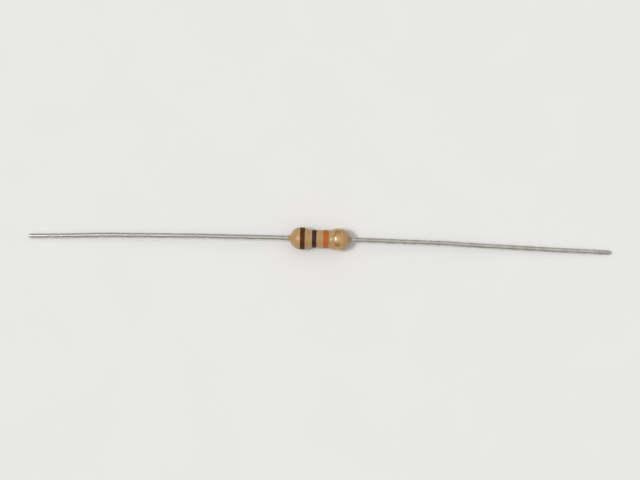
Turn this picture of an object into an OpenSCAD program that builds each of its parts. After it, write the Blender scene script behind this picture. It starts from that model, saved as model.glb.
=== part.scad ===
// Axial carbon film resistor: a ceramic core with a helically trimmed film, pressed end caps,
// welded wire leads, a lacquer coat and four painted colour bands. Millimetres, +Z up.
// The origin is on the surface that it lies on, under the middle of the body; leads run along X.

/* [Ceramic core] */
// Diameter of the ceramic rod
core_d = 1.6; // [1.4:0.05:1.8]
// Length of the ceramic rod
core_l = 5.0; // [4.6:0.1:5.6]
// Chamfer round both ends of the rod
core_chamfer = 0.08; // [0.04:0.02:0.14]

/* [Carbon film] */
// Thickness of the film on the rod
film_t = 0.04; // [0.02:0.01:0.06]
// Width of the helical trimming cut
groove_w = 0.14; // [0.08:0.02:0.2]
// Advance of the cut in one turn
groove_pitch = 0.4; // [0.3:0.05:0.5]
// Number of turns of the cut
groove_turns = 5; // [2:1:6]

/* [End caps] */
// Wall of the drawn cap
cap_wall = 0.18; // [0.12:0.02:0.24]
// Thickness of the cap's end face
cap_face_t = 0.16; // [0.12:0.02:0.22]
// How far the cap is pressed over the rod
cap_depth = 1.05; // [0.9:0.05:1.2]
// Outer corner radius of the cap
cap_round = 0.22; // [0.14:0.02:0.28]
// Chamfer inside the cap's mouth
cap_lead_in = 0.06; // [0.02:0.02:0.1]

/* [Lacquer coat] */
// Lacquer over the film, at the waist
coat_waist_t = 0.12; // [0.1:0.01:0.16]
// Lacquer over the caps, at the two bulges
coat_cap_t = 0.16; // [0.14:0.01:0.2]
// Lacquer beyond the cap's end face
coat_end_t = 0.49; // [0.4:0.01:0.6]
// Length of the slope between waist and bulge
shoulder_l = 0.85; // [0.6:0.05:1]
// Flat crown of each bulge
crown_l = 0.3; // [0.2:0.05:0.4]
// Lacquer round the wire where the body ends
neck_t = 0.15; // [0.1:0.01:0.2]
// Length of the lacquer that creeps along the wire
meniscus_l = 0.35; // [0.2:0.05:0.5]
// Lacquer's edge on the wire
meniscus_edge_t = 0.015; // [0.01:0.005:0.03]

/* [Leads] */
// Diameter of the tinned wire
lead_d = 0.5; // [0.4:0.02:0.6]
// Length of each lead beyond the body
lead_l = 28; // [24:0.5:30]
// Spread of the weld on the cap beyond the wire
weld_spread = 0.16; // [0.08:0.02:0.2]
// Height of the weld on the cap
weld_h = 0.2; // [0.12:0.02:0.26]
// Straight wire between the lacquer and the first bend, to within 0.2
root_l = 0.5; // [0.4:0.1:1]
// Radius of every bend, at the wire's centre
bend_r = 6; // [3:0.5:10]
// Straight runs between the bends, from the body outwards
run_l = [9, 8.5]; // [6:0.5:10]
// Sideways bends of the left lead, in degrees
left_bends = [0.7, 1.2]; // [-2:0.1:2]
// Sideways bends of the right lead, in degrees
right_bends = [1.7, -0.9]; // [-2:0.1:2]
// Chamfer left by the cutter at the tip
tip_chamfer = 0.05; // [0.02:0.01:0.1]

/* [Colour bands] */
// Widths of the bands, from left to right
band_w = [0.52, 0.52, 0.6, 0.6]; // [0.4:0.02:0.7]
// Place of the outer bands, inwards from the rod's ends
band_inset = 0.63; // [0.5:0.01:0.8]
// Thickness of the paint
paint_t = 0.025; // [0.02:0.005:0.04]

/* [Hidden] */
$fn = 64;

// Radii, from the core outwards
core_r = core_d / 2;
film_r = core_r + film_t;
cap_r = film_r + cap_wall;
lead_r = lead_d / 2;
weld_r = lead_r + weld_spread;
waist_r = film_r + coat_waist_t;
bulge_r = cap_r + coat_cap_t;
neck_r = lead_r + neck_t;

// Places along the axis, from the middle of the body outwards
core_end = core_l / 2;
mouth_x = core_end - cap_depth;
face_x = core_end + cap_face_t;
body_end = face_x + coat_end_t;
coat_end = body_end + meniscus_l;
shoulder_end = mouth_x + 0.4 * shoulder_l;
crown_end = shoulder_end + crown_l;

// Length of the dome's ellipse, which ends where it is as thin as the neck
dome_a = (body_end - crown_end) / sqrt(1 - pow(neck_r / bulge_r, 2));
dome_sweep = acos(neck_r / bulge_r);
// Points in each rounded stretch of an outline
STEPS = 12;
GROOVE_STEPS = 32;
// The pieces of a wire lap by this much, far less than they can be made to, so that a mesh joins them cleanly
LAP = 5e-8;

function lerp(a, b, t) = a + (b - a) * t;

// OpenSCAD passes on six figures of each sine and cosine. A bend's angle is moved by up to
// 0.01 degrees, to one where those figures are right, so that the pieces of wire meet exactly.
function six_figures(x) =
    x == 0 ? 0 :
    let (unit = pow(10, floor(log(abs(x))) - 5))
    round(x / unit) * unit;
function misprint(angle) =
    abs(six_figures(sin(angle)) - sin(angle)) + abs(six_figures(cos(angle)) - cos(angle));
function snapped(angle) =
    let (tries = [for (i = [-100:100]) round(angle * 1e4 + i) / 1e4],
         misprints = [for (a = tries) misprint(a)],
         least = min(misprints))
    angle == 0 ? 0 :
    [for (i = [0:len(tries) - 1]) if (misprints[i] == least) tries[i]][0];

// Outlines are lists of [distance along the axis, radius], from the middle outwards
shoulder = [for (i = [0:STEPS])
    [lerp(shoulder_end - shoulder_l, shoulder_end, i / STEPS),
     lerp(waist_r, bulge_r, (1 - cos(180 * i / STEPS)) / 2)]];
dome = [for (i = [0:STEPS])
    let (a = dome_sweep * i / STEPS)
    [crown_end + dome_a * sin(a), bulge_r * cos(a)]];
meniscus = [for (i = [1:STEPS / 2])
    let (a = 90 * i / (STEPS / 2))
    [body_end + meniscus_l * (1 - cos(a)),
     neck_r - (neck_t - meniscus_edge_t) * sin(a)]];
coat_half = concat(shoulder, dome, meniscus);
weld_outline = [for (i = [0:STEPS / 2])
    let (a = 90 * i / (STEPS / 2))
    [weld_h * (1 - cos(a)), weld_r - weld_spread * sin(a)]];
cap_corner = [for (i = [0:STEPS / 2])
    let (a = 90 * i / (STEPS / 2))
    [face_x - cap_round * (1 - sin(a)), cap_r - cap_round * (1 - cos(a))]];
coat_inside_half = concat(
    [[mouth_x, film_r], [mouth_x, cap_r]],
    cap_corner,
    [for (p = weld_outline) [face_x + p[0], p[1]]],
    [[coat_end, lead_r]]);

function flipped(outline) = [for (i = [len(outline) - 1:-1:0]) [-outline[i][0], outline[i][1]]];
function backwards(outline) = [for (i = [len(outline) - 1:-1:0]) outline[i]];
function both_ways(half) = concat(flipped(half), half);

coat_outside = both_ways(coat_half);
coat_inside = both_ways(coat_inside_half);

// The stretch of the coat's outline that each band covers
band_under = [for (i = [0:len(band_w) - 1])
    let (place = lerp(band_inset - core_end, core_end - band_inset, i / (len(band_w) - 1)),
         low = place - band_w[i] / 2,
         high = place + band_w[i] / 2)
    concat(
        [[low, lookup(low, coat_outside)]],
        [for (p = coat_outside) if (p[0] > low && p[0] < high) p],
        [[high, lookup(high, coat_outside)]])];

// Height of the body's axis, at which the bulges or the paint on them touch the surface
axis_z = max(concat(
    [for (p = coat_outside) p[1]],
    [for (under = band_under) for (p = under) p[1] + paint_t]));

// Turns an outline about the body's axis
module turned(outline) {
    translate([0, 0, axis_z])
        rotate([0, 90, 0])
            rotate_extrude()
                polygon([for (p = outline) [p[1], p[0]]]);
}

// Puts a piece of the right end on the left end as well
module at_end(side) {
    if (side < 0)
        mirror([1, 0, 0]) children();
    else
        children();
}

module ceramic_core() {
    rim_r = core_r - core_chamfer;
    rim_x = core_end - core_chamfer;
    color("ivory")
        turned([[-core_end, 0], [-core_end, rim_r], [-rim_x, core_r],
                [rim_x, core_r], [core_end, rim_r], [core_end, 0]]);
}

// Closed bar of rectangular section that follows a helix about Z, through the film's wall
module helical_cutter(inner_r, outer_r, width, pitch, turns, steps) {
    rings = turns * steps;
    corners = [[inner_r, -width / 2], [outer_r, -width / 2], [outer_r, width / 2], [inner_r, width / 2]];
    points = [for (i = [0:rings], c = corners)
        let (a = 360 * i / steps, rise = pitch * (i / steps - turns / 2))
        [c[0] * cos(a), c[0] * sin(a), c[1] + rise]];
    sides = [for (i = [0:rings - 1], k = [0:3])
        let (a = 4 * i + k, b = 4 * i + (k + 1) % 4)
        each [[a, b, a + 4], [b, b + 4, a + 4]]];
    last = 4 * rings;
    ends = [[0, 2, 1], [0, 3, 2], [last, last + 1, last + 2], [last, last + 2, last + 3]];
    polyhedron(points, concat(sides, ends));
}

// The resistive path is what the helical cut leaves between its turns
module carbon_film() {
    film_end = core_end - core_chamfer;
    cut_margin = 0.1;
    color([0.16, 0.16, 0.17])
        difference() {
            turned([[-film_end, core_r], [-film_end, film_r], [film_end, film_r], [film_end, core_r]]);
            translate([0, 0, axis_z])
                rotate([0, 90, 0])
                    helical_cutter(core_r - cut_margin, film_r + cut_margin,
                                   groove_w, groove_pitch, groove_turns, GROOVE_STEPS);
        }
}

// Drawn steel cup, pressed over the film until the rod meets its face
module end_cap(side) {
    color("gainsboro")
        at_end(side)
            turned(concat(
                [[core_end, 0], [core_end, film_r], [mouth_x + cap_lead_in, film_r],
                 [mouth_x, film_r + cap_lead_in], [mouth_x, cap_r]],
                cap_corner,
                [[face_x, 0]]));
}

// One bend of the wire, towards +X of its own frame, with what follows carried on its end
module bend(angle) {
    toward = angle < 0 ? 180 : 0;
    rotate([0, 0, toward])
        translate([bend_r, 0, 0]) {
            if (angle != 0)
                rotate([90, 0, 180])
                    rotate_extrude(angle = abs(angle))
                        translate([bend_r, 0])
                            circle(d = lead_d);
            rotate([0, abs(angle), 0])
                translate([-bend_r, 0, 0])
                    rotate([0, 0, -toward])
                        children();
        }
}

// A straight run of the wire, with what follows carried on its end
module run(length) {
    translate([0, 0, -LAP])
        cylinder(h = length + 2 * LAP, d = lead_d);
    translate([0, 0, length])
        children();
}

// The cut end of the wire
module last_run(length) {
    rotate_extrude()
        polygon([[0, -LAP], [lead_r, -LAP], [lead_r, length - tip_chamfer],
                 [lead_r - tip_chamfer, length], [0, length]]);
}

// The wire sags from its first bend until its tip meets the surface
drop = axis_z - lead_r;
reach = body_end + lead_l - coat_end - root_l;
droop = snapped(asin(bend_r / norm([reach, bend_r - drop])) - atan2(bend_r - drop, reach));
sag_l = (drop - bend_r * (1 - cos(droop))) / sin(droop);
root_end = body_end + lead_l - bend_r * sin(droop) - sag_l * cos(droop);

// What is left for the last run, once the sideways bends have taken their share
function last_l(bends) =
    let (first = bends[0], both = bends[0] + bends[1])
    (sag_l - run_l[0] - run_l[1] * cos(first)
     - bend_r * (abs(sin(first)) + abs(sin(both) - sin(first)))) / cos(both);

module wire(sideways) {
    straight_l = root_end - face_x;
    bends = [for (angle = sideways) snapped(angle)];
    rotate_extrude()
        polygon(concat([[0, 0]],
                       [for (p = weld_outline) [p[1], p[0]]],
                       [[lead_r, straight_l + LAP], [0, straight_l + LAP]]));
    translate([0, 0, straight_l])
        bend(droop)
            run(run_l[0])
                rotate([0, 0, -90])
                    bend(bends[0])
                        run(run_l[1])
                            bend(bends[1])
                                last_run(last_l(bends));
}

module lead(side, sideways) {
    color("silver")
        at_end(side)
            translate([face_x, 0, axis_z])
                rotate([0, 90, 0])
                    wire(sideways);
}

module lacquer_coat() {
    color([0.71, 0.57, 0.41])
        turned(concat(coat_outside, backwards(coat_inside)));
}

// Painted ring that follows the coat's outline over its own width
module band(index, paint) {
    under = band_under[index];
    color(paint)
        turned(concat(under, [for (p = backwards(under)) [p[0], p[1] + paint_t]]));
}

ceramic_core();
carbon_film();
end_cap(-1);  // end_cap_left
end_cap(1);  // end_cap_right
lead(-1, left_bends);  // lead_left
lead(1, right_bends);  // lead_right
lacquer_coat();
band(0, [0.33, 0.19, 0.08]);  // first_digit_band
band(1, [0.1, 0.06, 0.04]);  // second_digit_band
band(2, [0.7, 0.38, 0.2]);  // multiplier_band
band(3, [0.66, 0.52, 0.3]);  // tolerance_band
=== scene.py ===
"""Looks of an axial carbon film resistor on a pale surface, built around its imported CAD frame."""

import math

import bmesh
import bpy
from mathutils import Matrix, Vector, noise


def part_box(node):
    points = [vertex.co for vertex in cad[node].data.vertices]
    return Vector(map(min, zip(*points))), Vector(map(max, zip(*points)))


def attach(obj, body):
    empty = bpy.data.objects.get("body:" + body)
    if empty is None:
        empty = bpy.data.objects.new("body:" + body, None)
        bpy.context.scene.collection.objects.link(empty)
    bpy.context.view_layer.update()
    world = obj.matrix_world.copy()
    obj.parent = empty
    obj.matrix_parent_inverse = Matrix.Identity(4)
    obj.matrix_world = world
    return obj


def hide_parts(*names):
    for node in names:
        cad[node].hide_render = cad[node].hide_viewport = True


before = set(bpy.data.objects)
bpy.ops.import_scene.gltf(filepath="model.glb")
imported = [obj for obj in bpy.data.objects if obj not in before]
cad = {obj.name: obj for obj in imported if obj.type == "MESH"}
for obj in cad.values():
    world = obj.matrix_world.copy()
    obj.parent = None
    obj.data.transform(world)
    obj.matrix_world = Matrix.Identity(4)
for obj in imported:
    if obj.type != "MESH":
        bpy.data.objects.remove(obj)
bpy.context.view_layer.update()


# ---------------------------------------------------------------------------
# Ceramic core
# The rod that carries everything else: white alumina ceramic, extruded and
# fired, matt and finely grained. It keeps its CAD solid.

MM = 0.001


def set_inputs(tree, node, inputs):
    """Gives a node its inputs. Each is a value, or a socket to link from."""
    for name, value in inputs.items():
        if isinstance(value, bpy.types.NodeSocket):
            tree.links.new(value, node.inputs[name])
        else:
            node.inputs[name].default_value = value


def put(tree, kind, inputs=None, **settings):
    """Adds a shader node with its settings and inputs."""
    node = tree.nodes.new(kind)
    for name, value in settings.items():
        setattr(node, name, value)
    set_inputs(tree, node, inputs or {})
    return node


def work_out(tree, operation, *values):
    """Adds a Math node, and returns its result."""
    return put(tree, "ShaderNodeMath", dict(enumerate(values)), operation=operation).outputs[0]


def remap(tree, value, source=(0.0, 1.0), target=(0.0, 1.0), soft=False):
    """Carries a value from one range over to another, evenly or in a soft step."""
    ranges = {
        "Value": value, "From Min": source[0], "From Max": source[1],
        "To Min": target[0], "To Max": target[1]}
    step = "SMOOTHSTEP" if soft else "LINEAR"
    return put(tree, "ShaderNodeMapRange", ranges, interpolation_type=step).outputs[0]


def blend(tree, share, first, second):
    """Mixes two colours."""
    node = put(tree, "ShaderNodeMix", {0: share, 6: first, 7: second}, data_type="RGBA")
    return node.outputs[2]


def scale_colour(tree, colour, level):
    """Makes a colour brighter or darker by a level."""
    node = put(tree, "ShaderNodeVectorMath", {0: colour, "Scale": level}, operation="SCALE")
    return node.outputs[0]


def clouds(tree, place, scale, detail, roughness=0.5, distortion=0.0):
    """Adds a noise texture, and returns its level of about 0 to 1."""
    node = put(tree, "ShaderNodeTexNoise", {
        "Vector": place, "Scale": scale, "Detail": detail, "Roughness": roughness,
        "Distortion": distortion})
    return node.outputs["Fac"]


def new_group(name, inputs, outputs):
    """Starts a node group: inputs are {name: default}, outputs are {name: socket type}."""
    group = bpy.data.node_groups.new(name, "ShaderNodeTree")
    for label, default in inputs.items():
        if isinstance(default, tuple):
            kind = "NodeSocketColor" if len(default) == 4 else "NodeSocketVector"
        else:
            kind = "NodeSocketFloat"
        socket = group.interface.new_socket(name=label, in_out="INPUT", socket_type=kind)
        socket.default_value = default
    for label, kind in outputs.items():
        group.interface.new_socket(name=label, in_out="OUTPUT", socket_type=kind)
    return group, put(group, "NodeGroupInput").outputs, put(group, "NodeGroupOutput")


def make_mottle():
    """Slow clouds and fine grain in a colour, with the grain as a height for a bump."""
    group, given, result = new_group(
        "mottle",
        {
            "Vector": (0.0, 0.0, 0.0),
            "Colour": (0.8, 0.8, 0.8, 1.0),
            "Deep Colour": (0.6, 0.6, 0.6, 1.0),
            "Cloud Size": 1.0 * MM,
            "Cloud Amount": 0.5,
            "Grain Size": 0.06 * MM,
            "Grain Amount": 0.1,
        },
        {"Colour": "NodeSocketColor", "Cloud": "NodeSocketFloat", "Height": "NodeSocketFloat"},
    )
    cloud_scale = work_out(group, "DIVIDE", 1.0, given["Cloud Size"])
    cloud = clouds(group, given["Vector"], cloud_scale, detail=3.0, roughness=0.55, distortion=0.4)
    cleared = remap(group, cloud, (0.36, 0.64))
    share = work_out(group, "MULTIPLY", cleared, given["Cloud Amount"])
    tinted = blend(group, share, given["Colour"], given["Deep Colour"])

    grain_scale = work_out(group, "DIVIDE", 1.0, given["Grain Size"])
    grain = clouds(group, given["Vector"], grain_scale, detail=2.0, roughness=0.6)
    centred = work_out(group, "SUBTRACT", grain, 0.5)
    swing = work_out(group, "MULTIPLY", centred, given["Grain Amount"])
    level = work_out(group, "MULTIPLY_ADD", swing, 2.0, 1.0)
    grained = scale_colour(group, tinted, level)
    set_inputs(group, result, {"Colour": grained, "Cloud": share, "Height": grain})
    return group


mottle = make_mottle()


def new_material(name):
    """An empty material with its surface shader wired up."""
    material = bpy.data.materials.new(name)
    material.use_nodes = True
    tree = material.node_tree
    tree.nodes.clear()
    surface = put(tree, "ShaderNodeBsdfPrincipled")
    put(tree, "ShaderNodeOutputMaterial", {"Surface": surface.outputs[0]})
    return material, tree, surface


def use_group(tree, group, inputs):
    """Adds a node group with its inputs, and returns its outputs."""
    return put(tree, "ShaderNodeGroup", inputs, node_tree=group).outputs


def object_place(tree):
    """Where a point of the surface is, in metres."""
    return put(tree, "ShaderNodeTexCoord").outputs["Object"]


def bump_from(tree, surface, height, depth, under=None):
    """Feeds a height of 0 to 1, as deep as depth in metres, to the surface's normal."""
    inputs = {"Height": height, "Distance": depth, "Strength": 1.0}
    if under:
        inputs["Normal"] = under
    bump = put(tree, "ShaderNodeBump", inputs).outputs[0]
    set_inputs(tree, surface, {"Normal": bump})
    return bump


def make_ceramic():
    """Matt white ceramic with the grain of its powder."""
    material, tree, surface = new_material("fired_ceramic")
    clay = use_group(tree, mottle, {
        "Vector": object_place(tree),
        "Colour": (0.80, 0.78, 0.72, 1), "Deep Colour": (0.66, 0.62, 0.54, 1),
        "Cloud Size": 0.7 * MM, "Cloud Amount": 0.5,
        "Grain Size": 0.035 * MM, "Grain Amount": 0.12})
    set_inputs(tree, surface, {"Base Color": clay["Colour"], "Roughness": 0.72})
    bump_from(tree, surface, clay["Height"], 0.004 * MM)
    return material


def dress(node, material):
    """Gives a CAD node a finished material in place of its plain one."""
    for slot in cad[node].material_slots:
        slot.link = "OBJECT"
        slot.material = material


dress("ceramic_core", make_ceramic())


# ---------------------------------------------------------------------------
# Carbon film
# A dark grey resistive film, baked on to the rod and cut by a grinding wheel
# into a helix. It keeps its CAD solid.


def make_carbon():
    """Dark grey carbon, glossier in some places than in others."""
    material, tree, surface = new_material("baked_carbon")
    soot = use_group(tree, mottle, {
        "Vector": object_place(tree),
        "Colour": (0.045, 0.045, 0.05, 1), "Deep Colour": (0.09, 0.085, 0.085, 1),
        "Cloud Size": 0.4 * MM, "Cloud Amount": 0.7,
        "Grain Size": 0.02 * MM, "Grain Amount": 0.25})
    gloss = remap(tree, soot["Cloud"], target=(0.34, 0.5))
    set_inputs(tree, surface, {"Base Color": soot["Colour"], "Roughness": gloss})
    bump_from(tree, surface, soot["Height"], 0.002 * MM)
    return material


dress("carbon_film", make_carbon())


# ---------------------------------------------------------------------------
# End caps
# Two steel cups, drawn from sheet, plated, and pressed over the film. The
# drawing leaves fine rings round them. They keep their CAD solids.


def make_streaks():
    """Fine lines across the first axis of the given vector, with slow dull patches."""
    group, given, result = new_group(
        "streaks",
        {"Vector": (0.0, 0.0, 0.0), "Stretch": (1.0, 1.0, 1.0), "Patch Size": 1.0 * MM},
        {"Lines": "NodeSocketFloat", "Patches": "NodeSocketFloat"},
    )
    drawn = put(group, "ShaderNodeVectorMath", {
        0: given["Vector"], 1: given["Stretch"]}, operation="MULTIPLY").outputs[0]
    lines = clouds(group, drawn, 1.0, detail=4.0, roughness=0.65)
    patch_scale = work_out(group, "DIVIDE", 1.0, given["Patch Size"])
    patches = clouds(group, given["Vector"], patch_scale, detail=3.0, roughness=0.6, distortion=0.6)
    cleared = remap(group, patches, (0.42, 0.66))
    set_inputs(group, result, {"Lines": lines, "Patches": cleared})
    return group


streaks = make_streaks()


def ramp(tree, share, first, second, places=(0.0, 1.0)):
    """Runs from one colour to another between two places of a share."""
    node = put(tree, "ShaderNodeValToRGB", {"Fac": share})
    for stop, place, colour in zip(node.color_ramp.elements, places, (first, second)):
        stop.position = place
        stop.color = (*colour, 1)
    return node.outputs["Color"]


def make_cap_steel():
    """Plated steel with the rings that the drawing die leaves."""
    material, tree, surface = new_material("plated_steel")
    rings = use_group(tree, streaks, {
        "Vector": object_place(tree), "Stretch": (32000.0, 900.0, 900.0),
        "Patch Size": 0.5 * MM})
    tone = ramp(tree, rings["Patches"], (0.62, 0.60, 0.56), (0.50, 0.47, 0.42))
    worn = remap(tree, rings["Lines"], target=(0.22, 0.46))
    set_inputs(tree, surface, {"Base Color": tone, "Metallic": 1.0, "Roughness": worn})
    bump_from(tree, surface, rings["Lines"], 0.0012 * MM)
    return material


cap_steel = make_cap_steel()
dress("end_cap_left", cap_steel)
dress("end_cap_right", cap_steel)


# ---------------------------------------------------------------------------
# Leads
# Tinned copper wire, drawn, straightened and welded end-on to each cap, then
# bent a little by handling. Each is extruded along the CAD wire's own runs
# and bends, so it lies where the solid lies.

WIRE_R = 0.25 * MM
WIRE_SIDES = 40
RING_GAP = 0.25 * MM
WELD_R = 0.41 * MM  # the bead of the weld, where it stands on the cap
WELD_H = 0.2 * MM
WELD_RINGS = 8
CAP_FACE_X = 2.66 * MM
ROOT_END_X = 4.0236 * MM
BEND_R = 6.0 * MM
BEND_STEPS = 5
SAG_DEG = 2.0242
RUNS = (9.0 * MM, 8.5 * MM)
TIP_CHAMFER = 0.05 * MM
TIP_STEPS = ((0.6, 0.3), (0.4, 1.0))  # parts of the chamfer: on along the wire, and inwards
TIN_RIM = 0.014 * MM
COPPER_STEP = 0.004 * MM
COPPER_SINK = 0.002 * MM
SHEAR = 0.07 * MM  # how far the cut slants across the wire
PINCH_LENGTH = 0.45 * MM
PINCH_SHARE = 0.14
WAVER = 0.035 * MM
WAVER_LENGTH = 4.5 * MM
WAVER_START = 1.2 * MM
WAVER_FADE = 2.0 * MM
WAVER_SEED = 3.7
TIN_SKIN = 0.007 * MM
SKIN_LENGTH = 0.9 * MM
SKIN_ROUND = 1.2
CREASE_DEG = 38.0
AXIS_Z = (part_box("lacquer_coat")[0][2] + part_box("lacquer_coat")[1][2]) / 2


class Wire:
    """A wire that grows ring by ring. Its pose is its open end's frame, and it grows along Z."""

    def __init__(self, radius):
        self.bm = bmesh.new()
        self.along = self.bm.verts.layers.float_vector.new("along_wire")
        self.cut = self.bm.verts.layers.float.new("bare_copper")
        face_on = Matrix.Rotation(math.radians(90), 4, "Y")
        self.pose = Matrix.Translation((CAP_FACE_X, 0, AXIS_Z)) @ face_on
        self.length = 0.0
        made = bmesh.ops.create_circle(
            self.bm, cap_ends=True, radius=radius, segments=WIRE_SIDES, matrix=self.pose)
        self.ring = made["verts"]
        self.edges = list(self.bm.edges)
        self.mark()

    def mark(self):
        """Notes each new vertex's distance along the wire, and its place in the section."""
        back = self.pose.inverted()
        for vert in self.ring:
            here = back @ vert.co
            vert[self.along] = Vector((self.length, here.x, here.y))

    def grow(self):
        """Adds a new ring, which still lies on the last one."""
        made = bmesh.ops.extrude_edge_only(self.bm, edges=self.edges)["geom"]
        self.ring = [item for item in made if isinstance(item, bmesh.types.BMVert)]
        self.edges = [item for item in made if isinstance(item, bmesh.types.BMEdge)]

    def extrude(self, step, radius):
        """Draws the wire on by one step, to a radius."""
        self.grow()
        old = self.pose.inverted()
        self.pose = self.pose @ Matrix.Translation((0, 0, step))
        self.length += step
        for vert in self.ring:
            here = (old @ vert.co).to_2d().normalized() * radius
            vert.co = self.pose @ here.to_3d()
        self.mark()

    def run(self, length):
        """Draws a straight stretch of wire."""
        steps = max(1, round(length / RING_GAP))
        for _ in range(steps):
            self.extrude(length / steps, WIRE_R)

    def bend(self, degrees, heading_deg):
        """Bends the wire by an angle, towards a heading in its own section."""
        heading = Matrix.Rotation(math.radians(heading_deg), 4, "Z")
        sweep = math.radians(abs(degrees)) / BEND_STEPS
        for _ in range(BEND_STEPS):
            end = self.pose @ heading
            centre = end @ Vector((BEND_R, 0, 0))
            turn = Matrix.Rotation(sweep, 4, end.to_3x3() @ Vector((0, 1, 0)))
            self.grow()
            bmesh.ops.rotate(self.bm, cent=centre, matrix=turn, verts=self.ring)
            about = Matrix.Translation(centre) @ turn @ Matrix.Translation(-centre)
            self.pose = about @ self.pose
            self.length += BEND_R * sweep
            self.mark()


def spread(low, high, steps):
    """Evenly spaced values from low to high, with both."""
    return [low + (high - low) * i / steps for i in range(steps + 1)]


def quarter(steps):
    """The angles of a quarter turn."""
    return [math.radians(degrees) for degrees in spread(0, 90, steps)]


def draw_wire(bends, last_run):
    """Draws a wire from its weld through its bends to its open tip."""
    wire = Wire(WELD_R)
    angles = quarter(WELD_RINGS)
    for a, b in zip(angles, angles[1:]):
        step = WELD_H * (math.cos(a) - math.cos(b))
        wire.extrude(step, WELD_R - (WELD_R - WIRE_R) * math.sin(b))
    wire.run(ROOT_END_X - CAP_FACE_X - WELD_H)
    wire.bend(SAG_DEG, 0)
    for length, degrees in zip(RUNS, bends):
        wire.run(length)
        wire.bend(degrees, -90 if degrees > 0 else 90)
    wire.run(last_run - TIP_CHAMFER)
    for on, inwards in TIP_STEPS:
        wire.extrude(on * TIP_CHAMFER, WIRE_R - inwards * TIP_CHAMFER)
    return wire


def cut_tip(wire):
    """Closes the tip with bare copper in a rim of tin, sheared at a slant and pinched."""
    face = bmesh.ops.contextual_create(wire.bm, geom=wire.edges)["faces"]
    bmesh.ops.inset_region(wire.bm, faces=face, thickness=TIN_RIM)
    bmesh.ops.inset_region(wire.bm, faces=face, thickness=COPPER_STEP, depth=-COPPER_SINK)
    for vert in face[0].verts:
        vert[wire.cut] = 1.0
    back = wire.pose.inverted()
    for vert in wire.bm.verts:
        here = back @ vert.co
        if vert[wire.along].x == 0 and here.z > -PINCH_LENGTH:
            vert[wire.along] = Vector((wire.length, here.x, here.y))
        to_tip = wire.length - vert[wire.along].x
        if to_tip < TIP_CHAMFER:
            here.z -= 0.5 * SHEAR * (1 + here.x / WIRE_R)
        here.y *= 1 - PINCH_SHARE * max(0.0, 1 - to_tip / PINCH_LENGTH) ** 2
        vert.co = wire.pose @ here


def ripple(place):
    """Smooth noise of about 0 to 1."""
    return 0.5 + 0.5 * noise.noise(place)


def make_uneven(wire, seed):
    """Gives the wire the slow waver of handling, and a tin skin that is never quite round."""
    facing = wire.pose.to_3x3()
    for vert in wire.bm.verts:
        length, right, up = vert[wire.along]
        clear = min(1.0, max(0.0, (length - WAVER_START) / WAVER_FADE))
        outwards = Vector((right, up)).normalized()
        skin = ripple(Vector((
            length / SKIN_LENGTH, SKIN_ROUND * outwards.x + seed, SKIN_ROUND * outwards.y)))
        vert.co += facing @ outwards.to_3d() * (-clear * TIN_SKIN * skin)
        vert.co.y += clear * WAVER * noise.noise(Vector((length / WAVER_LENGTH, seed, 0.0)))


def finish_mesh(bm, name):
    """Makes a mesh a smooth object, with its faces outwards and its sharp edges kept."""
    bmesh.ops.remove_doubles(bm, verts=bm.verts, dist=1e-8)
    bmesh.ops.recalc_face_normals(bm, faces=bm.faces)
    for face in bm.faces:
        face.smooth = True
    for edge in bm.edges:
        edge.smooth = edge.calc_face_angle(0.0) < math.radians(CREASE_DEG)
    mesh = bpy.data.meshes.new(name)
    bm.to_mesh(mesh)
    bm.free()
    piece = bpy.data.objects.new(name, mesh)
    bpy.context.scene.collection.objects.link(piece)
    return piece


def make_tin():
    """Tin with die lines, dull patches and nicks, and bare copper where the wire is cut."""
    material, tree, surface = new_material("tinned_copper")
    along = put(tree, "ShaderNodeAttribute", attribute_name="along_wire").outputs["Vector"]
    bare = put(tree, "ShaderNodeAttribute", attribute_name="bare_copper").outputs["Fac"]
    die = use_group(tree, streaks, {
        "Vector": along, "Stretch": (260.0, 14000.0, 14000.0), "Patch Size": 0.9 * MM})
    tone = ramp(tree, die["Patches"], (0.65, 0.637, 0.588), (0.48, 0.465, 0.412))
    lined = scale_colour(tree, tone, remap(tree, die["Lines"], (0.3, 0.7), (0.86, 1.08)))

    across = put(tree, "ShaderNodeMapping", {
        "Vector": along, "Scale": (0.0, 9000.0, 60000.0), "Rotation": (0.3, 0.0, 0.0)})
    sheared = clouds(tree, across.outputs[0], 1.0, detail=3.0)
    copper = ramp(tree, sheared, (0.30, 0.13, 0.075), (0.70, 0.37, 0.24), (0.34, 0.66))
    dull = remap(tree, die["Patches"], target=(0.22, 0.40))
    set_inputs(tree, surface, {
        "Base Color": blend(tree, bare, lined, copper),
        "Metallic": 1.0,
        "Roughness": work_out(tree, "MULTIPLY_ADD", bare, 0.16, dull)})

    handled = put(tree, "ShaderNodeMapping", {
        "Vector": along, "Scale": (1100.0, 3600.0, 3600.0)})
    nicks = put(tree, "ShaderNodeTexVoronoi", {"Vector": handled.outputs[0], "Scale": 1.0})
    lot = put(tree, "ShaderNodeSeparateXYZ", {0: nicks.outputs["Color"]}).outputs["X"]
    few = work_out(tree, "GREATER_THAN", lot, 0.8)
    hollow = remap(tree, nicks.outputs["Distance"], (0.06, 0.26), (1.0, 0.0), soft=True)
    level = work_out(tree, "SUBTRACT", 1.0, work_out(tree, "MULTIPLY", hollow, few))
    dented = bump_from(tree, surface, level, 0.006 * MM)
    bump_from(tree, surface, die["Lines"], 0.004 * MM, dented)
    return material


tin = make_tin()

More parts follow.
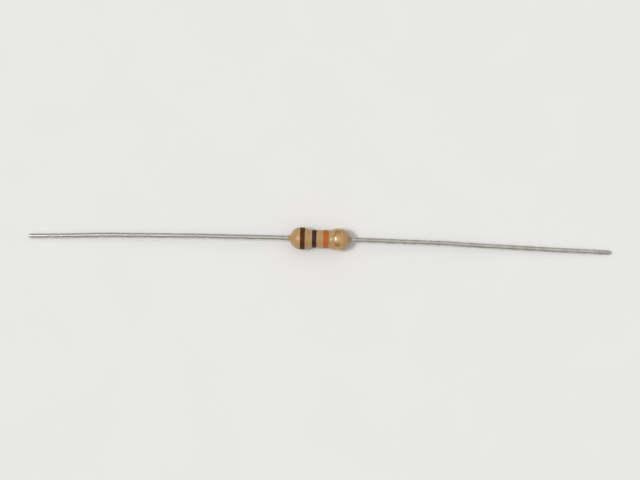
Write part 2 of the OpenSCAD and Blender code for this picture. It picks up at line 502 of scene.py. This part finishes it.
# Each wire's side of the body, its two bends to the side in degrees, and the
# run that brings its tip down to the surface.
leads = (
    ("lead_left", -1, (0.7064, 1.1964), 9.23779 * MM),
    ("lead_right", 1, (1.7055, -0.8913), 9.16408 * MM),
)
for node, side, bends, last_run in leads:
    wire = draw_wire(bends, last_run)
    cut_tip(wire)
    make_uneven(wire, WAVER_SEED + side)
    bmesh.ops.scale(wire.bm, vec=(side, 1, 1), verts=wire.bm.verts)
    piece = finish_mesh(wire.bm, node + "_wire")
    piece.data.materials.append(tin)
    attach(piece, "root")
    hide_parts(node)


# ---------------------------------------------------------------------------
# Lacquer coat
# Tan lacquer that the body is dipped in: thin over the film, round over the
# caps, and drawn out along each wire. It is spun from the outline of the CAD
# coat, then given the slow lumps and the uneven edges of a dipped coat.

WAIST_R = 0.96 * MM
BULGE_R = 1.18 * MM
NECK_R = 0.40 * MM
EDGE_R = 0.265 * MM
SHOULDER_START_X = 0.94 * MM
SHOULDER_END_X = 1.79 * MM
CROWN_END_X = 2.09 * MM
BODY_END_X = 3.15 * MM
COAT_END_X = 3.5 * MM
DOME_LENGTH = (BODY_END_X - CROWN_END_X) / math.sqrt(1 - (NECK_R / BULGE_R) ** 2)
FILM_R = 0.84 * MM
CAP_R = 1.02 * MM
CAP_ROUND = 0.22 * MM
CAP_MOUTH_X = 1.45 * MM
WAIST_STEPS = 14
SHOULDER_STEPS = 16
CROWN_STEPS = 6
DOME_STEPS = 26
MENISCUS_STEPS = 12
CAP_STEPS = 6
TURN_STEPS = 160
LUMP = 0.024 * MM
LUMP_LENGTH = 1.1 * MM
LUMP_ROUND = 1.3
FINE_LUMPS = 2.7  # how much closer together the finer lumps lie
FINE_LUMPS_START = Vector((7.0, 3.0, 1.0))
FINE_LUMPS_SHARE = 0.25
RAG = 0.20 * MM  # how far the lacquer's end may stop short on the wire
RAG_SEED = 5.0
RAG_WAVES = ((1.2, 0.45), (2.6, 0.05))  # how close together its bays lie, and their share
FEATHER = 0.04 * MM  # how far its outer edge lies behind its inner one
SETTLE = 0.3 * MM  # the lumps fade out over this much of its end
TOUCH = 1e-7


def coat_outline(x):
    """The CAD coat's radius at a distance from the middle of the body."""
    x = abs(x)
    if x <= SHOULDER_START_X:
        return WAIST_R
    if x <= SHOULDER_END_X:
        t = (x - SHOULDER_START_X) / (SHOULDER_END_X - SHOULDER_START_X)
        return WAIST_R + (BULGE_R - WAIST_R) * (1 - math.cos(math.pi * t)) / 2
    if x <= CROWN_END_X:
        return BULGE_R
    if x <= BODY_END_X:
        return BULGE_R * math.sqrt(1 - ((x - CROWN_END_X) / DOME_LENGTH) ** 2)
    t = min(1.0, (x - BODY_END_X) / (COAT_END_X - BODY_END_X))
    return NECK_R - (NECK_R - EDGE_R) * math.sqrt(1 - (1 - t) ** 2)


def coat_profile():
    """The closed section of the coat: its outside, then its inner wall, as (x, radius)."""
    dome_end = math.acos(NECK_R / BULGE_R)
    half = spread(0, SHOULDER_START_X, WAIST_STEPS)[:-1]
    half += spread(SHOULDER_START_X, SHOULDER_END_X, SHOULDER_STEPS)[:-1]
    half += spread(SHOULDER_END_X, CROWN_END_X, CROWN_STEPS)[:-1]
    half += [CROWN_END_X + DOME_LENGTH * math.sin(a)
             for a in spread(0, dome_end, DOME_STEPS)[:-1]]
    half += [BODY_END_X + (COAT_END_X - BODY_END_X) * (1 - math.cos(a))
             for a in quarter(MENISCUS_STEPS)]
    outside = [(x, coat_outline(x)) for x in [-x for x in half[:0:-1]] + half]

    inside = [(COAT_END_X, WIRE_R)]
    inside += [(CAP_FACE_X + WELD_H * (1 - math.cos(a)),
                WELD_R - (WELD_R - WIRE_R) * math.sin(a))
               for a in reversed(quarter(WELD_RINGS))]
    inside += [(CAP_FACE_X - CAP_ROUND * (1 - math.sin(a)),
                CAP_R - CAP_ROUND * (1 - math.cos(a)))
               for a in reversed(quarter(CAP_STEPS))]
    inside += [(CAP_MOUTH_X, CAP_R), (CAP_MOUTH_X, FILM_R)]
    return outside + inside + [(-x, radius) for x, radius in reversed(inside)]


def spin_profile(points):
    """Spins a closed section of (x, radius) points once round the body's axis."""
    bm = bmesh.new()
    verts = [bm.verts.new((x, radius, AXIS_Z)) for x, radius in points]
    edges = [bm.edges.new(pair) for pair in zip(verts, verts[1:] + verts[:1])]
    bmesh.ops.spin(
        bm, geom=verts + edges, cent=(0, 0, AXIS_Z), axis=(1, 0, 0), angle=math.tau,
        steps=TURN_STEPS, use_merge=True)
    return bm


def polar(co):
    """A point's distance along the body, distance from its axis, and angle round it."""
    return co.x, math.hypot(co.y, co.z - AXIS_Z), math.atan2(co.z - AXIS_Z, co.y)


def from_polar(x, radius, turn):
    """The point at a distance along the body, distance from its axis, and angle round it."""
    return Vector((x, radius * math.cos(turn), AXIS_Z + radius * math.sin(turn)))


def on_ring(along, size, turn):
    """A place for noise that runs along the body and closes round it."""
    return Vector((along, size * math.cos(turn), size * math.sin(turn)))


def lumps(x, turn):
    """How far the dipped surface lies under its outline, at a place along and round the body."""
    place = on_ring(x / LUMP_LENGTH, LUMP_ROUND, turn)
    slow, fine = ripple(place), ripple(place * FINE_LUMPS + FINE_LUMPS_START)
    return LUMP * ((1 - FINE_LUMPS_SHARE) * slow + FINE_LUMPS_SHARE * fine)


def ragged(x, turn):
    """How far short of its outline the drawn-out lacquer stops along the wire."""
    creep = max(0.0, (abs(x) - BODY_END_X) / (COAT_END_X - BODY_END_X))
    place = on_ring(math.copysign(RAG_SEED, x), 1.0, turn)
    edge = 0.5 + sum(share * noise.noise(place * closeness) for closeness, share in RAG_WAVES)
    return math.copysign(creep * edge * RAG, x)


def make_skin():
    """The skin of a dipped or painted coat: orange peel, with a few round specks and pits."""
    group, given, result = new_group(
        "skin",
        {
            "Vector": (0.0, 0.0, 0.0),
            "Peel Size": 0.28 * MM,
            "Spot Gap": 0.36 * MM,
            "Pit Depth": 0.6,
        },
        {"Height": "NodeSocketFloat", "Specks": "NodeSocketFloat"},
    )
    peel_scale = work_out(group, "DIVIDE", 1.0, given["Peel Size"])
    peel = clouds(group, given["Vector"], peel_scale, detail=2.0, roughness=0.45)
    spot_scale = work_out(group, "DIVIDE", 1.0, given["Spot Gap"])
    spots = put(group, "ShaderNodeTexVoronoi", {
        "Vector": given["Vector"], "Scale": spot_scale}).outputs
    spot = remap(group, spots["Distance"], (0.045, 0.11), (1.0, 0.0), soft=True)
    lot = put(group, "ShaderNodeSeparateXYZ", {0: spots["Color"]}).outputs["X"]
    speck = work_out(group, "MULTIPLY", spot, work_out(group, "GREATER_THAN", lot, 0.66))
    pit = work_out(group, "MULTIPLY", spot, work_out(group, "LESS_THAN", lot, 0.16))
    sunk = work_out(group, "MULTIPLY", pit, given["Pit Depth"])
    height = work_out(group, "SUBTRACT", peel, sunk)
    set_inputs(group, result, {"Height": height, "Specks": speck})
    return group


skin = make_skin()


def make_lacquer_finish():
    """Satin tan lacquer, paler and duller where the bulges rub, darker where it thins out."""
    material, tree, surface = new_material("dipped_lacquer")
    place = object_place(tree)
    paint = use_group(tree, mottle, {
        "Vector": place,
        "Colour": (0.472, 0.287, 0.128, 1), "Deep Colour": (0.385, 0.211, 0.081, 1),
        "Cloud Size": 0.9 * MM, "Cloud Amount": 0.5,
        "Grain Size": 0.05 * MM, "Grain Amount": 0.10})
    dipped = use_group(tree, skin, {
        "Vector": place, "Peel Size": 0.28 * MM, "Spot Gap": 0.34 * MM})
    specked = blend(tree, dipped["Specks"], paint["Colour"], (0.24, 0.12, 0.05, 1))

    from_axis = put(tree, "ShaderNodeMapping", {
        "Vector": place, "Location": (0.0, 0.0, -AXIS_Z), "Scale": (0.0, 1.0, 1.0)})
    radius = put(tree, "ShaderNodeVectorMath", {
        0: from_axis.outputs[0]}, operation="LENGTH").outputs["Value"]
    crown = remap(tree, radius, (1.10 * MM, 1.17 * MM), soft=True)
    rubbed = work_out(tree, "MULTIPLY", crown, paint["Height"])
    pale = work_out(tree, "MULTIPLY", rubbed, 0.28)
    worn = blend(tree, pale, specked, (0.66, 0.46, 0.27, 1))

    x = put(tree, "ShaderNodeSeparateXYZ", {0: place}).outputs["X"]
    far = work_out(tree, "ABSOLUTE", x)
    thin = remap(tree, far, (2.95 * MM, 3.42 * MM), (0.0, 0.6))
    ended = blend(tree, thin, worn, (0.33, 0.185, 0.085, 1))

    satin = remap(tree, paint["Cloud"], target=(0.30, 0.43))
    duller = work_out(tree, "MULTIPLY_ADD", rubbed, 0.2, satin)
    set_inputs(tree, surface, {
        "Base Color": ended, "Roughness": duller, "Specular IOR Level": 0.55})
    peeled = bump_from(tree, surface, dipped["Height"], 0.012 * MM)
    bump_from(tree, surface, paint["Height"], 0.0012 * MM, peeled)
    return material


coat = spin_profile(coat_profile())
for vert in coat.verts:
    x, radius, turn = polar(vert.co)
    at_end = abs(x) > COAT_END_X - TOUCH
    short_x = x - ragged(x, turn)
    if abs(radius - coat_outline(x)) < TOUCH:
        if at_end:
            short_x -= math.copysign(FEATHER, x)
        settled = min(1.0, (COAT_END_X - abs(x)) / SETTLE)
        vert.co = from_polar(short_x, radius - settled * lumps(x, turn), turn)
    elif at_end:
        vert.co = from_polar(short_x, radius, turn)
coat_piece = finish_mesh(coat, "lacquer_body")
coat_piece.data.materials.append(make_lacquer_finish())
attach(coat_piece, "root")
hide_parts("lacquer_coat")


# ---------------------------------------------------------------------------
# Colour bands
# Four rings of paint, rolled on to the coat by a wheel while the body turns:
# brown, black and orange for the value, gold for the tolerance. Their edges
# waver, and the paint laps where the wheel ends its turn.

PAINT_T = 0.025 * MM
ROUNDED = 0.11 * MM
SUNK = 0.012 * MM
OVER_STEPS = 26
UNDER_STEPS = 6
EDGE_WAVER = 0.030 * MM
EDGE_WAVER_ROUND = 1.4
EDGE_RIPPLE = 0.011 * MM
EDGE_RIPPLE_ROUND = 6.0
LAP_DEG = 16.0
LAP_RAMP_DEG = 3.0
LAP_SHIFT = 0.014 * MM
SINGLE_LAYER = 0.8  # the paint away from its lap, as a part of its full thickness
LAYER_RIPPLE = 0.14
COVER_POWER = 8  # the paint is full nearly to its edges


def band_profile(low, high):
    """The closed section of a band: its rounded outside, and back inside the coat."""
    over = []
    for share in spread(0, 1, OVER_STEPS):
        x = low + (high - low) * share
        rim = min(share, 1 - share) * (high - low) / ROUNDED
        lift = PAINT_T * (1 - (1 - min(1.0, rim)) ** 2)
        over.append((x, coat_outline(x) + lift))
    under = [(x, coat_outline(x) - SUNK) for x in reversed(spread(low, high, UNDER_STEPS))]
    return over + under


def roll_band(low, high, seed, lap_at_deg):
    """Spins a band, and lays it on the lumpy coat with wavering edges and a lap."""
    bm = spin_profile(band_profile(low, high))
    cover = bm.verts.layers.float.new("paint_cover")
    middle, half = (low + high) / 2, (high - low) / 2
    for vert in bm.verts:
        x, radius, turn = polar(vert.co)
        lift = radius - coat_outline(x)
        across = (x - middle) / half
        side = 1.0 if across > 0 else -1.0
        slow = noise.noise(on_ring(seed + side, EDGE_WAVER_ROUND, turn))
        quick = noise.noise(on_ring(seed - side, EDGE_RIPPLE_ROUND, turn))
        since = (math.degrees(turn) - lap_at_deg) % 360
        lap = max(0.0, min(1.0, since / LAP_RAMP_DEG, (LAP_DEG - since) / LAP_RAMP_DEG))
        shift = EDGE_WAVER * slow + EDGE_RIPPLE * quick + LAP_SHIFT * lap * side
        x += abs(across) * shift
        if lift > 0:
            lift *= SINGLE_LAYER + (1 - SINGLE_LAYER) * lap - LAYER_RIPPLE * (0.5 + 0.5 * quick)
        vert.co = from_polar(x, coat_outline(x) - lumps(x, turn) + lift, turn)
        vert[cover] = 1.0 - abs(across) ** COVER_POWER
    return bm


def make_rolled():
    """Rolled-on paint: the wheel's streaks round the body, and how thinly the paint lies."""
    group, given, result = new_group(
        "rolled",
        {"Vector": (0.0, 0.0, 0.0), "Cover": 1.0},
        {"Streaks": "NodeSocketFloat", "Thin": "NodeSocketFloat"},
    )
    drawn = put(group, "ShaderNodeVectorMath", {
        0: given["Vector"], 1: (16000.0, 700.0, 700.0)}, operation="MULTIPLY").outputs[0]
    streak = clouds(group, drawn, 1.0, detail=3.0, roughness=0.55)
    edge = remap(group, given["Cover"], (0.0, 0.6), (0.62, 0.0))
    breaks = clouds(group, given["Vector"], 1 / (0.30 * MM), detail=4.0, roughness=0.62)
    gaps = remap(group, breaks, (0.44, 0.66), (0.12, 1.0))
    thin = work_out(group, "MULTIPLY", edge, gaps)
    set_inputs(group, result, {"Streaks": streak, "Thin": thin})
    return group


rolled = make_rolled()


def make_paint(name, colour, deep, rough, shine):
    """Opaque paint in streaks, thin at its edges, where a little of the tan shows."""
    material, tree, surface = new_material(name)
    place = object_place(tree)
    cover = put(tree, "ShaderNodeAttribute", attribute_name="paint_cover").outputs["Fac"]
    wheel = use_group(tree, rolled, {"Vector": place, "Cover": cover})
    streaked = remap(tree, wheel["Streaks"], (0.36, 0.66))
    paint = use_group(tree, mottle, {
        "Vector": place,
        "Colour": blend(tree, streaked, (*colour, 1), (*deep, 1)), "Deep Colour": (*deep, 1),
        "Cloud Size": 0.45 * MM, "Cloud Amount": 0.5,
        "Grain Size": 0.04 * MM, "Grain Amount": 0.12})
    edged = blend(tree, wheel["Thin"], paint["Colour"], (0.42, 0.25, 0.11, 1))
    satin = remap(tree, wheel["Streaks"], (0.3, 0.7), (rough - 0.05, rough + 0.12))
    set_inputs(tree, surface, {
        "Base Color": edged, "Roughness": satin, "Specular IOR Level": shine})
    dried = use_group(tree, skin, {
        "Vector": place, "Peel Size": 0.2 * MM, "Spot Gap": 0.22 * MM, "Pit Depth": 0.9})
    peeled = bump_from(tree, surface, dried["Height"], 0.008 * MM)
    bump_from(tree, surface, wheel["Streaks"], 0.004 * MM, peeled)
    return material


def make_gold():
    """Metallic paint under a clear top: amber flakes at slightly different angles, each flake's
    colour made a little brighter or darker at random as a painted glint.
    """
    material, tree, surface = new_material("gold_paint")
    place = object_place(tree)
    cover = put(tree, "ShaderNodeAttribute", attribute_name="paint_cover").outputs["Fac"]
    wheel = use_group(tree, rolled, {"Vector": place, "Cover": cover})
    flakes = put(tree, "ShaderNodeTexVoronoi", {
        "Vector": place, "Scale": 1 / (0.016 * MM), "Randomness": 1.0})
    flake = put(tree, "ShaderNodeSeparateXYZ", {0: flakes.outputs["Color"]}).outputs
    paint = use_group(tree, mottle, {
        "Vector": place,
        "Colour": (0.64, 0.41, 0.175, 1), "Deep Colour": (0.48, 0.275, 0.095, 1),
        "Cloud Size": 0.5 * MM, "Cloud Amount": 0.5,
        "Grain Size": 0.04 * MM, "Grain Amount": 0.12})
    # Each flake's colour is scaled a little up or down: painted glints that stand in for flakes
    # catching the light at different angles.
    flake_glint_colour = scale_colour(tree, paint["Colour"], remap(tree, flake["X"], target=(0.90, 1.10)))
    set_inputs(tree, surface, {
        "Base Color": blend(tree, wheel["Thin"], flake_glint_colour, (0.44, 0.27, 0.12, 1)),
        "Metallic": remap(tree, wheel["Thin"], target=(0.82, 0.1)),
        "Roughness": remap(tree, flake["Y"], target=(0.27, 0.37)),
        "Coat Weight": 0.4,
        "Coat Roughness": 0.2})
    flaked = bump_from(tree, surface, flake["Z"], 0.0005 * MM)
    dried = use_group(tree, skin, {
        "Vector": place, "Peel Size": 0.22 * MM, "Spot Gap": 0.25 * MM})
    bump_from(tree, surface, dried["Height"], 0.006 * MM, flaked)
    return material


# Each band's node, slot, width, seed, the angle of its lap, and its paint.
bands = (
    ("first_digit_band", "brown_paint", 0.52 * MM, 11.0, 35,
     make_paint("brown_paint", (0.106, 0.033, 0.004), (0.067, 0.019, 0.002), 0.40, 0.18)),
    ("second_digit_band", "black_paint", 0.49 * MM, 16.0, 160,
     make_paint("black_paint", (0.048, 0.024, 0.009), (0.030, 0.014, 0.005), 0.36, 0.24)),
    ("multiplier_band", "orange_paint", 0.6 * MM, 21.0, 290,
     make_paint("orange_paint", (0.510, 0.149, 0.034), (0.420, 0.107, 0.022), 0.38, 0.18)),
    ("tolerance_band", "gold_paint", 0.6 * MM, 26.0, 80, make_gold()),
)
for node, slot, width, seed, lap_at_deg, paint in bands:
    low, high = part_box(node)
    middle = (low[0] + high[0]) / 2
    band = roll_band(middle - width / 2, middle + width / 2, seed, lap_at_deg)
    piece = finish_mesh(band, node + "_paint")
    piece.data.materials.append(paint)
    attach(piece, "root")
    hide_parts(node)


# ---------------------------------------------------------------------------
# Surface, light and camera
# A plain pale surface under a pale sky that dims towards the horizon, and one
# soft lamp at the upper left. The camera looks down from 11 degrees off
# straight above, turned a little, as in the photograph.

FLOOR_SIZE = 3.0
PALE = (0.80, 0.80, 0.79, 1)
SKY_TINT = (1.0, 0.995, 0.985, 1)
HORIZON_TO_TOP = (0.18, 0.72)
NEAR_TO_FAR = (0.84, 1.16)
LEFT_TO_RIGHT = (0.55, 1.45)
WALL_LEVEL = 0.26  # what the room's walls add beyond the two wire ends
LAMP_PLACE = Vector((-2.92, -0.8, 5.18))
LAMP_SIZE = (1.8, 1.05)
LAMP_WATTS = 190.0
LAMP_TINT = (1.0, 0.992, 0.98)
VIEW_HEIGHT_DEG = 79.0
TILT_DEG = 1.7
LENS = 85.0
SENSOR_WIDTH = 36.0
FRAME_WIDTH = 0.0685
AIM_Z = 0.6 * MM

floor_bm = bmesh.new()
bmesh.ops.create_grid(floor_bm, x_segments=1, y_segments=1, size=FLOOR_SIZE / 2)
floor = finish_mesh(floor_bm, "pale_surface")
card, tree, surface = new_material("pale_card")
fibres = use_group(tree, mottle, {
    "Vector": object_place(tree), "Colour": PALE, "Deep Colour": (0.785, 0.785, 0.778, 1),
    "Cloud Size": 9.0 * MM, "Cloud Amount": 0.6, "Grain Size": 0.12 * MM, "Grain Amount": 0.012})
set_inputs(tree, surface, {
    "Base Color": fibres["Colour"], "Roughness": 0.9, "Specular IOR Level": 0.0})
floor.data.materials.append(card)

world = bpy.data.worlds.new("soft_room")
bpy.context.scene.world = world
world.use_nodes = True
tree = world.node_tree
tree.nodes.clear()
outlook = put(tree, "ShaderNodeTexCoord").outputs["Generated"]
direction = put(tree, "ShaderNodeSeparateXYZ", {0: outlook}).outputs
sky = remap(tree, direction["Z"], (0.1, 0.95), HORIZON_TO_TOP, soft=True)
near = remap(tree, direction["Y"], (-1.0, 1.0), NEAR_TO_FAR)
beside = remap(tree, direction["X"], (-1.0, 1.0), LEFT_TO_RIGHT)
across = work_out(tree, "MULTIPLY", near, beside)
endways = work_out(tree, "ABSOLUTE", direction["X"])
walls = remap(tree, endways, (0.7, 1.0), (0.0, WALL_LEVEL), soft=True)
level = work_out(tree, "MULTIPLY_ADD", sky, across, walls)
room = put(tree, "ShaderNodeBackground", {"Color": SKY_TINT, "Strength": level})
seen = put(tree, "ShaderNodeBackground", {"Color": PALE, "Strength": 1.0})
ray = put(tree, "ShaderNodeLightPath")
both = put(tree, "ShaderNodeMixShader", {
    0: ray.outputs["Is Camera Ray"], 1: room.outputs[0], 2: seen.outputs[0]})
put(tree, "ShaderNodeOutputWorld", {"Surface": both.outputs[0]})

light = bpy.data.lights.new("ceiling_light", "AREA")
light.shape = "RECTANGLE"
light.size, light.size_y = LAMP_SIZE
light.energy = LAMP_WATTS
light.color = LAMP_TINT
lamp = bpy.data.objects.new("ceiling_light", light)
lamp.location = LAMP_PLACE
lamp.rotation_euler = (-LAMP_PLACE).to_track_quat("-Z", "Y").to_euler()
bpy.context.scene.collection.objects.link(lamp)

camera_data = bpy.data.cameras.new("camera")
camera_data.lens = LENS
camera_data.sensor_width = SENSOR_WIDTH
camera_data.clip_start = 0.005
camera_data.clip_end = 10.0
distance = FRAME_WIDTH * LENS / SENSOR_WIDTH
rise = math.radians(VIEW_HEIGHT_DEG)
aim = Vector((0, 0, AIM_Z))
from_aim = Vector((0, -math.cos(rise), math.sin(rise))) * distance
facing = (-from_aim).to_track_quat("-Z", "Y").to_matrix().to_4x4()
tilt = Matrix.Rotation(math.radians(TILT_DEG), 4, "Z")
camera = bpy.data.objects.new("camera", camera_data)
camera.matrix_world = Matrix.Translation(aim + from_aim) @ facing @ tilt
bpy.context.scene.collection.objects.link(camera)
bpy.context.scene.camera = camera
bpy.context.scene.view_settings.view_transform = "Standard"
